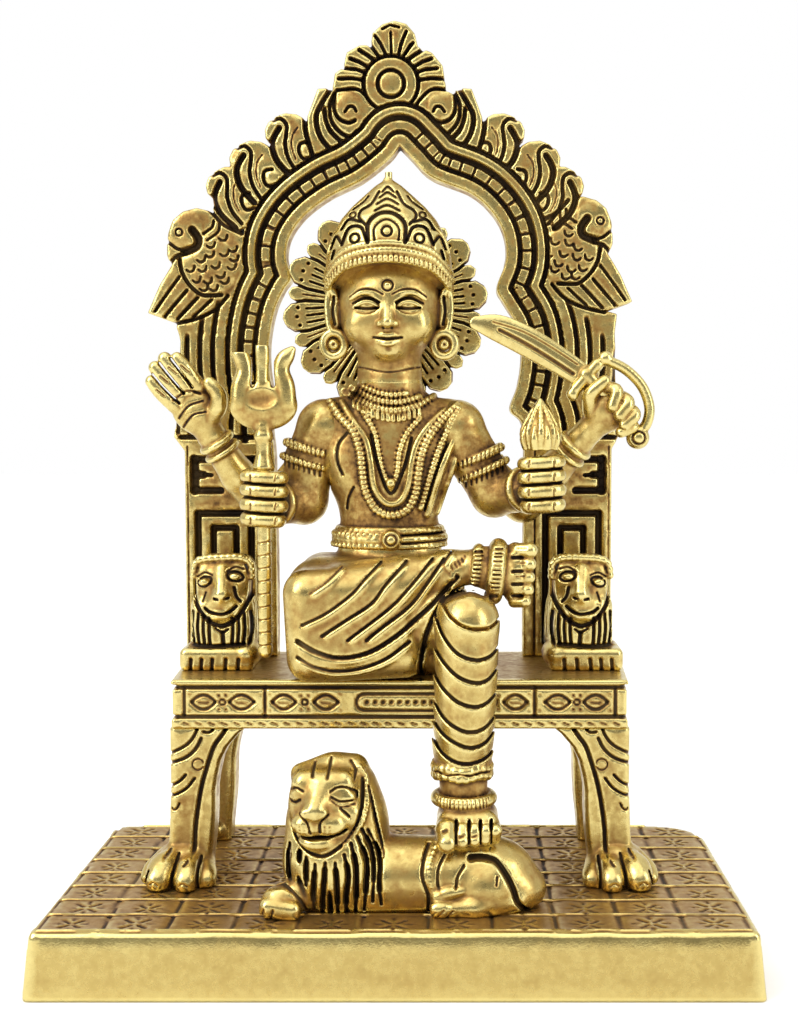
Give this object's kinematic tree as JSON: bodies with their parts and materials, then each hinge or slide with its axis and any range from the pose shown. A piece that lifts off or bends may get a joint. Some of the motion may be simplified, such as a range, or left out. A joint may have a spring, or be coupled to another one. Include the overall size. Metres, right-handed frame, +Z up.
{
  "type": "seated deity statue",
  "caption": "Antique brass statue of a many-armed seated figure on a lion bench under a carved arch, with a lift-out trident.",
  "frame": {"origin": "centre of the plinth's underside", "axes": "+Z up, +X to the viewer's right, +Y to the back"},
  "size_m": [0.166, 0.088, 0.2335],
  "materials": {
    "antique_brass": "cast brass, polished on the high parts and dark in the recesses",
    "plinth_brass": "satin brass with a chiselled, darkened top",
    "screw_steel": "plain zinc-plated steel"
  },
  "bodies": {
    "root": {"base_plinth": "plinth_brass", "bench_seat": "antique_brass", "leg_front_left": "antique_brass", "leg_front_right": "antique_brass", "leg_rear_left": "antique_brass", "leg_rear_right": "antique_brass", "seat_lion_left": "antique_brass", "seat_lion_right": "antique_brass", "arch_back": "antique_brass", "reclining_lion": "antique_brass", "lower_body": "antique_brass", "hanging_leg": "antique_brass", "torso": "antique_brass", "head": "antique_brass", "crown": "antique_brass", "halo": "antique_brass", "arm_front_left": "antique_brass", "arm_front_right": "antique_brass", "arm_rear_left": "antique_brass", "arm_rear_right": "antique_brass", "sword": "antique_brass", "lotus_bud": "antique_brass", "base_leg_screws": "screw_steel", "lion_screws": "screw_steel", "arch_screws": "screw_steel", "seat_lion_screws": "screw_steel", "figure_bolt": "screw_steel", "halo_screw": "screw_steel"},
    "trident": {"trident": "antique_brass"}
  },
  "joints": [
    {"name": "trident_lift", "type": "slide", "parent": "root", "child": "trident", "axis": [0, 0, 1], "range_m": [0, 0.045]}
  ]
}
